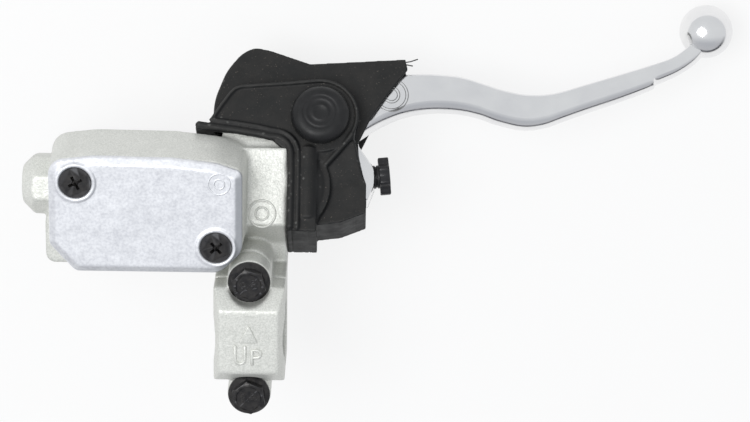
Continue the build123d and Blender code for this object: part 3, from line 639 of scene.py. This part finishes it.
def hex_head(top, foot, steps=144):
    """Hexagon with a chamfered rim and a shallow dish, on a coned flange."""
    rows = [(1.0, foot), (1.0, None), (0.965, None), (0.93, None), (0.80, None)]
    points, faces = [], []
    for share, high in rows:
        for i in range(steps):
            angle = 2 * pi * i / steps
            flat_angle = (angle + pi / 6) % (pi / 3) - pi / 6
            radius = hex_flats / cos(flat_angle) * share
            rim = hex_flats * 0.985
            z = high if high is not None else min(top, top - (radius - rim) * 0.6)
            points.append((radius * cos(angle), radius * sin(angle), z))
    for radius, drop in ((4.0, 0.0), (3.75, 0.25), (0.3, 0.28)):
        for i in range(steps):
            angle = 2 * pi * i / steps
            points.append((radius * cos(angle), radius * sin(angle), top - drop))
    count = len(rows) + 3
    for row in range(count - 1):
        for i in range(steps):
            j = (i + 1) % steps
            faces.append((row * steps + i, row * steps + j, (row + 1) * steps + j, (row + 1) * steps + i))
    faces.append(tuple(range((count - 1) * steps, count * steps)))
    return points, faces


middle_x = (bolt_low.x + bolt_high.x) / 2
bolt_ys = (bolt_high.y - flange_radius * MM, bolt_low.y + flange_radius * MM)
bolt_turns = (radians(14), radians(8))
for number, y in enumerate(bolt_ys):
    spot = Matrix.Translation((middle_x, y, 0)) @ Matrix.Rotation(bolt_turns[number], 4, "Z")
    flange_profile = [
        (2.9, bolt_low.z / MM),
        (2.9, seat_z),
        (flange_radius - 0.15, seat_z),
        (flange_radius, seat_z + 0.2),
        (flange_radius, seat_z + 0.75),
        (flange_radius - 0.25, seat_z + 0.98),
        (5.9, seat_z + 1.35),
        (5.2, seat_z + 1.9),
        (1.0, seat_z + 1.9),
    ]
    flange = mesh_piece(f"bolt_{number + 1}_flange", *turned(flange_profile), spot)
    head = mesh_piece(f"bolt_{number + 1}_head", *hex_head(head_top_z, seat_z + 1.0), spot, 25)
    grade_place = spot @ Matrix.Translation((0, 0, (head_top_z - 0.26) * MM))
    digits = letters(f"bolt_{number + 1}_grade", "8.8", 4.4, grade_place, 0.14)
    nodes = ("clamp_bolts",) if number == 0 else ()
    finish_piece(flange, black_steel, "body", "black_steel", *nodes)
    finish_piece(head, black_steel, "body", "black_steel")
    finish_piece(digits, black_steel, "body", "black_steel")


# ---------------------------------------------------------------- rubber boot
# Moulded black rubber boot, pulled over the bracket and the lever's root. It has a raised
# part over the bracket with a beaded edge, a round cap over the pivot and a thick lip.
boot_rubber, tree, shader = new_material("boot_rubber")
dust_film = grain(tree, 7 * MM, 6.0, 0.7)
dusty = ramp(tree, dust_film, 0.35, 0.75, (0.012, 0.0125, 0.0125), (0.024, 0.0225, 0.021))
dots = ramp(tree, grain(tree, 0.45 * MM, 1.0), 0.70, 0.80, (0.0, 0.0, 0.0), (1.0, 1.0, 1.0))
dust = tree.nodes.new("ShaderNodeRGB")
dust.outputs[0].default_value = (0.15, 0.13, 0.11, 1)
dotted = blend_colour(tree, dots, dusty, dust.outputs[0])
# Painted highlight, partly dust: convex edges and beads of the boot are made lighter in the colour.
edge_highlight_and_dust = tree.nodes.new("ShaderNodeRGB")
edge_highlight_and_dust.outputs[0].default_value = (0.075, 0.075, 0.072, 1)
dust_and_edge_highlight = blend_colour(tree, convex_edges(tree, 0.51, 0.60), dotted, edge_highlight_and_dust.outputs[0])
# Painted shade: faces turned away from (-0.5, 0.45, 0.74), up and to the left, are made near black in the colour.
painted_shade_colour = tree.nodes.new("ShaderNodeRGB")
painted_shade_colour.outputs[0].default_value = (0.006, 0.0065, 0.007, 1)
lit_side_mask = facing(tree, (-0.50, 0.45, 0.74), 0.50, 0.93)
dust_and_painted_shade = blend_colour(tree, lit_side_mask, painted_shade_colour.outputs[0], dust_and_edge_highlight)
tree.links.new(dust_and_painted_shade, shader.inputs["Base Color"])
dull = ramp(tree, grain(tree, 4 * MM), 0.3, 0.7, (0.50, 0.50, 0.50), (0.66, 0.66, 0.66))
tree.links.new(dull, shader.inputs["Roughness"])
shader.inputs["Specular IOR Level"].default_value = 0.26
moulded = bumps(tree, shader, grain(tree, 0.35 * MM, 2.0), 0.05 * MM, 0.5)
bumps(tree, shader, grain(tree, 6.0 * MM, 2.0), 0.3 * MM, 0.4, moulded)


# The same rubber where hands have polished it: darker, and with more shine
handled_rubber, tree, shader = new_material("handled_rubber")
dark_rubber = ramp(tree, grain(tree, 3 * MM, 5.0), 0.3, 0.7, (0.008, 0.0085, 0.009), (0.015, 0.015, 0.016))
tree.links.new(dark_rubber, shader.inputs["Base Color"])
handled = ramp(tree, grain(tree, 2 * MM), 0.3, 0.7, (0.38, 0.38, 0.38), (0.50, 0.50, 0.50))
shader.inputs["Specular IOR Level"].default_value = 0.28
tree.links.new(handled, shader.inputs["Roughness"])
bumps(tree, shader, grain(tree, 0.5 * MM, 2.0), 0.04 * MM, 0.4)

boot = copy_of("lever_boot", "boot")
boot_back = -19.7
boot_up = 13.0
ridge_line = [(-12.9, 16.6), (-9.8, 21.6), (-7.3, 25.2), (-5.9, 26.7), (-4.0, 27.5)]
ridge_line += [(4.0, 28.2), (11.2, 28.8)]
ridge_line += arc((pivot.x, pivot.y), 11.6, 96, -36)
ridge_tail = [*arc((pivot.x, pivot.y), 11.7, -30, -44, 3), (26.6, 6.4), (23.2, 2.6)]
tail_heights = [13.0, 12.9, 12.7, 12.5, 12.0, 11.4]
rim_outer = [(-17.2, 14.6), (-12.0, 13.9), (-5.0, 13.0), (2.0, 11.9), (5.6, 11.0)]
rim_outer += [*arc((6.6, 5.4), 5.6, 78, 6, 6), (12.4, 0.0), (12.4, -10.0), (12.4, boot_back + 1.2)]
rim_inner = [(-13.2, 16.3), (-5.0, 15.3), (2.0, 14.2), (6.2, 13.2)]
rim_inner += [*arc((6.8, 5.4), 7.7, 76, 6, 6), (14.6, 0.0), (14.6, -10.0), (14.6, boot_back + 1.0)]
band_x = 17.7
band_radius = 3.9
slope_foot = 8.6
extras = []
for sign in (1, -1):
    extras.append(bead([(x, y, sign * (boot_up + 0.15)) for x, y in ridge_line], 0.62))
    extras.append(bead([(x, y, sign * (boot_up + 0.1)) for x, y in rim_outer], 1.2))
    extras.append(bead([(x, y, sign * (boot_up + 0.2)) for x, y in rim_inner], 0.8))
    band_line = [(7.6, 10.0), (-5.0, 10.1), (boot_back + 4.7, 9.9)]
    extras.append(bead([(band_x, y, sign * z) for y, z in band_line], band_radius, 24))
    extras.append(bead([(x, y, sign * z) for (x, y), z in zip(ridge_tail, tail_heights)], 0.95))
    # Slope from the raised part down to the skirt
    slope = [
        (19.5, 9.0, sign * slope_foot), (32.6, 11.2, sign * slope_foot),
        (35.4, -1.0, sign * slope_foot), (19.5, -6.0, sign * slope_foot),
        (19.5, 9.0, sign * (boot_up - 0.2)), (32.0, 11.2, sign * (boot_up - 1.2)),
        (34.8, -1.0, sign * 9.8), (19.5, -6.0, sign * 9.8),
    ]
    slope_sides = [(i, i + 4, (i + 1) % 4 + 4, (i + 1) % 4) for i in range(4)]
    extras.append((slope, [(0, 1, 2, 3), (7, 6, 5, 4), *slope_sides]))
    # Filled corner where the tail of the ridge meets the swelling
    corner = [(19.5, 10.5), (28.6, 10.5), (26.0, 6.4), (22.8, 3.2), (19.0, 5.0)]
    corner_heights = [13.0, 12.7, 12.4, 12.0, 12.9]
    corner_foot = [(x, y, sign * slope_foot) for x, y in corner]
    corner_top = [(x, y, sign * z) for (x, y), z in zip(corner, corner_heights)]
    corner_sides = [(i, (i + 1) % 5, (i + 1) % 5 + 5, i + 5) for i in range(5)]
    extras.append((corner_foot + corner_top, [(0, 1, 2, 3, 4), (9, 8, 7, 6, 5), *corner_sides]))
    # Round swelling beside the rim
    swell_points, swell_faces = [], []
    for side_of_wall in (0.0, 1.8):
        for i in range(9):
            from_middle = 6.4 + 10.0 * sin(pi / 2 * i / 8)
            high = 9.0 + 4.5 * cos(pi / 2 * i / 8) - side_of_wall
            for x, y in arc((8.9, -4.6), from_middle, -68, 54, 24):
                swell_points.append((max(x, 15.2), max(y, boot_back + 0.6), sign * high))
    for layer in (0, 225):
        for i in range(8):
            for k in range(24):
                a = layer + i * 25 + k
                swell_faces.append((a, a + 1, a + 26, a + 25))
    border = [*range(24), *range(24, 224, 25), *range(224, 200, -1), *range(200, 0, -25)]
    for i, a in enumerate(border):
        b = border[(i + 1) % len(border)]
        swell_faces.append((a, b, b + 225, a + 225))
    extras.append((swell_points, swell_faces))
whole = bmesh.new()
whole.from_mesh(boot.data)
for points, faces in extras:
    made = [whole.verts.new(lever_plane @ (Vector(p) * MM)) for p in points]
    new_faces = [whole.faces.new([made[i] for i in face]) for face in faces]
    bmesh.ops.recalc_face_normals(whole, faces=new_faces)
whole.to_mesh(boot.data)
whole.free()
soften(boot, 0.30 * MM, 4)
# The back edge was trimmed by hand and is a little ragged
to_plane = lever_plane.inverted()
for vertex in boot.data.vertices:
    here = to_plane @ vertex.co / MM
    share = min(1.0, max(0.0, (boot_back + 1.3 + max(0.0, here.x - 21.0) * 0.42 - here.y) / 1.0))
    along = Vector((here.x, 0.0, 0.0))
    ragged = mathutils.noise.noise(along * 0.9) * 0.40 + mathutils.noise.noise(along * 2.3) * 0.25
    vertex.co += plane_across * (max(0.0, ragged) * share * MM)
    from_pivot = (Vector((here.x, here.y)) - pivot.xy).length
    if here.z > boot_up and from_pivot < 9.9:
        vertex.co -= plane_up * ((here.z - boot_up) * MM)
finish_piece(boot, boot_rubber, "body", "boot_rubber", "lever_boot")

# Two hairs of moulding flash at the flap's corner
flash_lines = [
    [(47.6, 38.3, 7.2), (49.6, 38.6, 7.3), (51.9, 39.4, 7.4)],
    [(48.2, 37.6, 7.2), (50.3, 37.2, 7.2)],
]
for number, line in enumerate(flash_lines):
    flash = mesh_piece(f"boot_flash_{number + 1}", *bead(line, 0.2, 8), lever_plane, 60)
    finish_piece(flash, boot_rubber, "body", "boot_rubber")

# Round cap over the pivot, with two plain raised rings in its top
cap_rim = [(8.9, -0.6), (9.3, -0.1), (9.35, 0.9), (9.25, 1.8), (8.95, 2.7), (8.4, 3.45), (7.7, 4.0)]
cap_rim += [(6.9, 4.3), (6.0, 4.4), (5.7, 4.4), (5.5, 4.28)]
cap_rings = [(5.0, 4.28), (4.8, 4.42), (4.2, 4.42), (4.0, 4.28)]
cap_rings += [(2.9, 4.28), (2.7, 4.42), (2.1, 4.42), (1.9, 4.28), (0.2, 4.28)]
cap_profile = [(radius, boot_up + rise) for radius, rise in cap_rim + cap_rings]
pivot_spot = lever_plane @ Matrix.Translation((pivot.x * MM, pivot.y * MM, 0))
pivot_cap = mesh_piece("pivot_cap", *turned(cap_profile, 96), pivot_spot, 60)
finish_piece(pivot_cap, handled_rubber, "body", "boot_rubber")


# ---------------------------------------------------------------- brake lever
# Forged aluminium lever, polished bright. The finger blade has a flat top, a full round
# back that the fingers pull on, a small step near its end and a ball tip.
polished, tree, shader = new_material("polished_aluminium")
shader.inputs["Metallic"].default_value = 1.0
silver = ramp(tree, grain(tree, 12 * MM, 3.0), 0.3, 0.7, (0.80, 0.80, 0.81), (0.88, 0.88, 0.88))
tree.links.new(silver, shader.inputs["Base Color"])
buffed = ramp(tree, grain(tree, 5 * MM, 5.0), 0.3, 0.7, (0.10, 0.10, 0.10), (0.20, 0.20, 0.20))
tree.links.new(buffed, shader.inputs["Roughness"])
bumps(tree, shader, grain(tree, 2.5 * MM, 2.0), 0.02 * MM, 0.25)

# Pairs of points across the blade, front edge then back edge, and half its thickness
blade = [
    ((31.0, 29.6), (33.2, 13.8), 5.2),
    ((38.0, 33.4), (38.0, 17.4), 5.2),
    ((44.0, 34.8), (43.5, 20.5), 5.2),
    ((50.0, 35.4), (49.5, 22.8), 5.2),
    ((57.5, 35.5), (57.0, 24.0), 5.1),
    ((65.5, 34.8), (65.0, 23.8), 5.0),
    ((73.0, 32.7), (71.5, 22.5), 4.9),
    ((79.0, 30.8), (77.5, 20.4), 4.8),
    ((85.5, 29.4), (85.5, 18.7), 4.7),
    ((92.0, 29.3), (92.5, 19.4), 4.6),
    ((98.0, 30.4), (99.5, 22.0), 4.5),
    ((105.0, 32.7), (107.0, 24.9), 4.4),
    ((116.0, 36.3), (118.0, 29.0), 4.2),
    ((125.5, 39.5), (128.0, 33.2), 4.0),
    ((126.3, 39.8), (128.7, 34.5), 3.8),
    ((133.0, 42.3), (136.0, 38.0), 3.6),
    ((137.6, 45.4), (141.6, 42.0), 3.5),
    ((141.0, 49.0), (145.0, 46.0), 3.2),
]


def through(values, at):
    """Smooth curve through evenly spaced values; at runs from 0 to the last index."""
    i = min(int(at), len(values) - 2)
    t = at - i
    a, b, c, d = (values[max(0, min(len(values) - 1, i + k))] for k in (-1, 0, 1, 2))
    bend = 2 * a - 5 * b + 4 * c - d
    twist = 3 * b - a - 3 * c + d
    return 0.5 * (2 * b + (c - a) * t + bend * t * t + twist * t ** 3)


def blade_section(front, back, half):
    """Closed line round the blade: flat top, small front rounding, full round back."""
    front, back = Vector(front), Vector(back)
    width = (front - back).length
    direction = (front - back) / width
    flank = min(3.6, width * 0.38)
    nose = min(1.0, width * 0.1)
    line = []
    for i in range(13):
        angle = radians(68 - 136 * i / 12)
        line.append((flank - flank * 1.07 * cos(angle) + flank * 0.07, half * sin(angle) / sin(radians(68))))
    for i in range(1, 6):
        line.append((flank + (width - flank - nose) * i / 5, -half))
    for i in range(1, 6):
        angle = radians(90 * i / 5)
        line.append((width - nose + nose * sin(angle), -half + nose - nose * cos(angle)))
    for i in range(6):
        angle = radians(90 * i / 5)
        line.append((width - nose + nose * cos(angle), half - nose + nose * sin(angle)))
    for i in range(1, 5):
        line.append((width - nose - (width - flank - nose) * i / 5, half))
    return [(back.x + direction.x * q, back.y + direction.y * q, n) for q, n in line]


points, faces = [], []
stations = [i / 5 for i in range((len(blade) - 1) * 5 + 1)]
for at in stations:
    step_start = 13 <= at <= 14
    take = (lambda values: values[13] + (values[14] - values[13]) * (at - 13)) if step_start else (
        lambda values: through(values, at))
    front = (take([b[0][0] for b in blade]), take([b[0][1] for b in blade]))
    back = (take([b[1][0] for b in blade]), take([b[1][1] for b in blade]))
    points += blade_section(front, back, take([b[2] for b in blade]))
round_count = len(points) // len(stations)
for row in range(len(stations) - 1):
    for i in range(round_count):
        j = (i + 1) % round_count
        a, b = row * round_count, (row + 1) * round_count
        faces.append((a + i, a + j, b + j, b + i))
faces.append(tuple(range(round_count)))
faces.append(tuple(range(len(points) - 1, len(points) - 1 - round_count, -1)))
lever_blade = mesh_piece("lever_blade", points, faces, lever_plane, 32)
finish_piece(lever_blade, polished, "lever", "polished_lever", "brake_lever")

ball_centre = (145.1, 52.9)
ball_radius = 8.58
ball_profile = [(ball_radius * sin(pi * i / 48) + 0.001, -ball_radius * cos(pi * i / 48)) for i in range(49)]
ball_spot = lever_plane @ Matrix.Translation((ball_centre[0] * MM, ball_centre[1] * MM, 0))
ball = mesh_piece("lever_ball", *turned(ball_profile, 96), ball_spot, 60)
finish_piece(ball, polished, "lever", "polished_lever")

# Root round the pivot and the short arm that carries the adjuster
root_outline = arc((pivot.x, pivot.y), 7.6, 60, 233) + [
    (29.8, 5.5), (29.8, -2.6), (32.2, -5.2), (36.6, -7.2), (38.7, -1.5), (38.8, 2.6), (37.9, 4.6), (33.6, 10.8),
    (33.0, 13.6), (35.0, 24.0), (31.0, 29.2),
]
root = mesh_piece("lever_root", *prism(root_outline, -5.15, 5.15), lever_plane)
bore = mesh_piece("bore", *turned([(5.0, -8), (5.0, 8)], 48), pivot_spot)
cut_away(root, bore)
finish_piece(rounded(root, 0.9), polished, "lever", "polished_lever")
# Plain ring rolled into the top face; its darker colour is painted shade for the grooves
groove_metal, tree, shader = new_material("groove_metal")
shader.inputs["Metallic"].default_value = 0.9
shader.inputs["Roughness"].default_value = 0.35
# Painted shade: the rings' metal is made dark so that the grooves read as dark lines.
painted_groove_shade = ramp(tree, grain(tree, 0.8 * MM), 0.3, 0.7, (0.16, 0.16, 0.16), (0.34, 0.34, 0.34))
tree.links.new(painted_groove_shade, shader.inputs["Base Color"])
bumps(tree, shader, grain(tree, 0.3 * MM), 0.02 * MM, 0.3)
lever_mark_place = lever_plane @ Matrix.Translation((43.7 * MM, 28.0 * MM, 5.15 * MM))
for number, radius in enumerate((5.4, 4.6, 2.7, 1.9)):
    mark = ring(f"lever_ring_{number + 1}", lever_mark_place, radius, 0.34, 0.10)
    finish_piece(mark, groove_metal, "lever", "polished_lever")


# ---------------------------------------------------------------- reach adjuster
# Black anodised hand wheel with eight finger scallops, on a spindle in the lever's arm.
anodised, tree, shader = new_material("black_anodised")
shader.inputs["Metallic"].default_value = 0.35
dye = ramp(tree, grain(tree, 1.5 * MM), 0.3, 0.7, (0.010, 0.010, 0.012), (0.022, 0.022, 0.024))
tree.links.new(dye, shader.inputs["Base Color"])
anodised_sheen = ramp(tree, grain(tree, 1.0 * MM), 0.3, 0.7, (0.30, 0.30, 0.30), (0.40, 0.40, 0.40))
tree.links.new(anodised_sheen, shader.inputs["Roughness"])
bumps(tree, shader, grain(tree, 0.25 * MM), 0.02 * MM, 0.3)

turn_joint = [j for j in frame["joints"] if j["name"] == "adjuster_turn"][0]
knob_axis = Vector(turn_joint["axis"]).normalized()
knob_spot = Matrix.Translation(turn_joint["pos_m"]) @ knob_axis.to_track_quat("Z", "Y").to_matrix().to_4x4()
knob_outline = []
lobes = 8
for i in range(lobes * 16):
    angle = 2 * pi * i / (lobes * 16)
    wave = cos(lobes * angle)
    radius = 5.72 + 0.5 * wave + 0.08 * abs(wave)
    knob_outline.append((radius * cos(angle), radius * sin(angle)))
wheel = mesh_piece("knob_wheel", *prism(knob_outline, -1.65, 1.65), knob_spot)
finish_piece(rounded(wheel, 0.3), anodised, "knob", "black_anodised", "adjuster_knob")
hub_profile = [(2.0, -12.5), (2.0, -3.9), (3.6, -3.9), (3.7, -3.7), (3.7, -2.9)]
hub_profile += [(3.3, -2.7), (3.3, -2.5), (3.7, -2.3), (3.7, -1.2)]
hub = mesh_piece("knob_hub", *turned(hub_profile), knob_spot)
finish_piece(hub, anodised, "knob", "black_anodised")
face_profile = [(4.4, 1.5), (4.4, 1.66), (4.2, 1.72), (3.0, 1.72), (2.8, 1.5), (0.3, 1.4)]
knob_face = mesh_piece("knob_face", *turned(face_profile), knob_spot)
finish_piece(knob_face, anodised, "knob", "black_anodised")


# ---------------------------------------------------------------- pieces inside and behind
# Turned steel, bronze and rubber pieces of the pivot, the piston and the reservoir. They
# keep their working shape and get their real finish. The bellows and the return spring
# get meshes of their own; on the real part they are the two that change length as the piston moves.
steel, tree, shader = new_material("zinc_steel")
shader.inputs["Metallic"].default_value = 1.0
zinc = ramp(tree, grain(tree, 2 * MM, 5.0), 0.3, 0.7, (0.46, 0.46, 0.47), (0.60, 0.60, 0.60))
tree.links.new(zinc, shader.inputs["Base Color"])
zinc_sheen = ramp(tree, grain(tree, 1.2 * MM), 0.3, 0.7, (0.28, 0.28, 0.28), (0.42, 0.42, 0.42))
tree.links.new(zinc_sheen, shader.inputs["Roughness"])
bumps(tree, shader, grain(tree, 0.4 * MM), 0.02 * MM, 0.3)

bronze, tree, shader = new_material("bronze")
shader.inputs["Metallic"].default_value = 1.0
shader.inputs["Roughness"].default_value = 0.35
tone = ramp(tree, grain(tree, 1.5 * MM), 0.3, 0.7, (0.46, 0.29, 0.12), (0.60, 0.40, 0.19))
tree.links.new(tone, shader.inputs["Base Color"])
bumps(tree, shader, grain(tree, 0.3 * MM), 0.02 * MM, 0.3)

seal_rubber, tree, shader = new_material("seal_rubber")
shader.inputs["Roughness"].default_value = 0.5
ebony = ramp(tree, grain(tree, 1.5 * MM), 0.3, 0.7, (0.012, 0.012, 0.012), (0.026, 0.026, 0.026))
tree.links.new(ebony, shader.inputs["Base Color"])
bumps(tree, shader, grain(tree, 0.3 * MM), 0.03 * MM, 0.4)

kept_finishes = {
    "reservoir_diaphragm": seal_rubber,
    "float_plate": steel,
    "pivot_bolt": steel,
    "pivot_nut": steel,
    "lever_bush": bronze,
    "adjuster_sleeve": steel,
    "push_pin": steel,
    "piston": bare_metal,
    "secondary_seal": seal_rubber,
    "primary_cup": seal_rubber,
    "spring_seat": steel,
    "stop_washer": steel,
    "snap_ring": steel,
}
for node, finish in kept_finishes.items():
    kept = frame["nodes"][node]
    kept.data.materials.clear()
    kept.data.materials.append(finish)

# The small bellows between barrel and piston rod, softened and given a mesh of its own (the real one folds as the
# piston goes in)
bellows = copy_of("dust_boot", "bellows")
finish_piece(soften(bellows, 0.25 * MM, 3), seal_rubber, "body", "black_rubber", "dust_boot")
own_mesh(bellows)

# The return spring, given a mesh of its own (the real one closes up by as much as the piston moves)
spring = copy_of("return_spring", "spring")
finish_piece(spring, steel, "body", "spring_steel", "return_spring")
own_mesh(spring)

low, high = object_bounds()
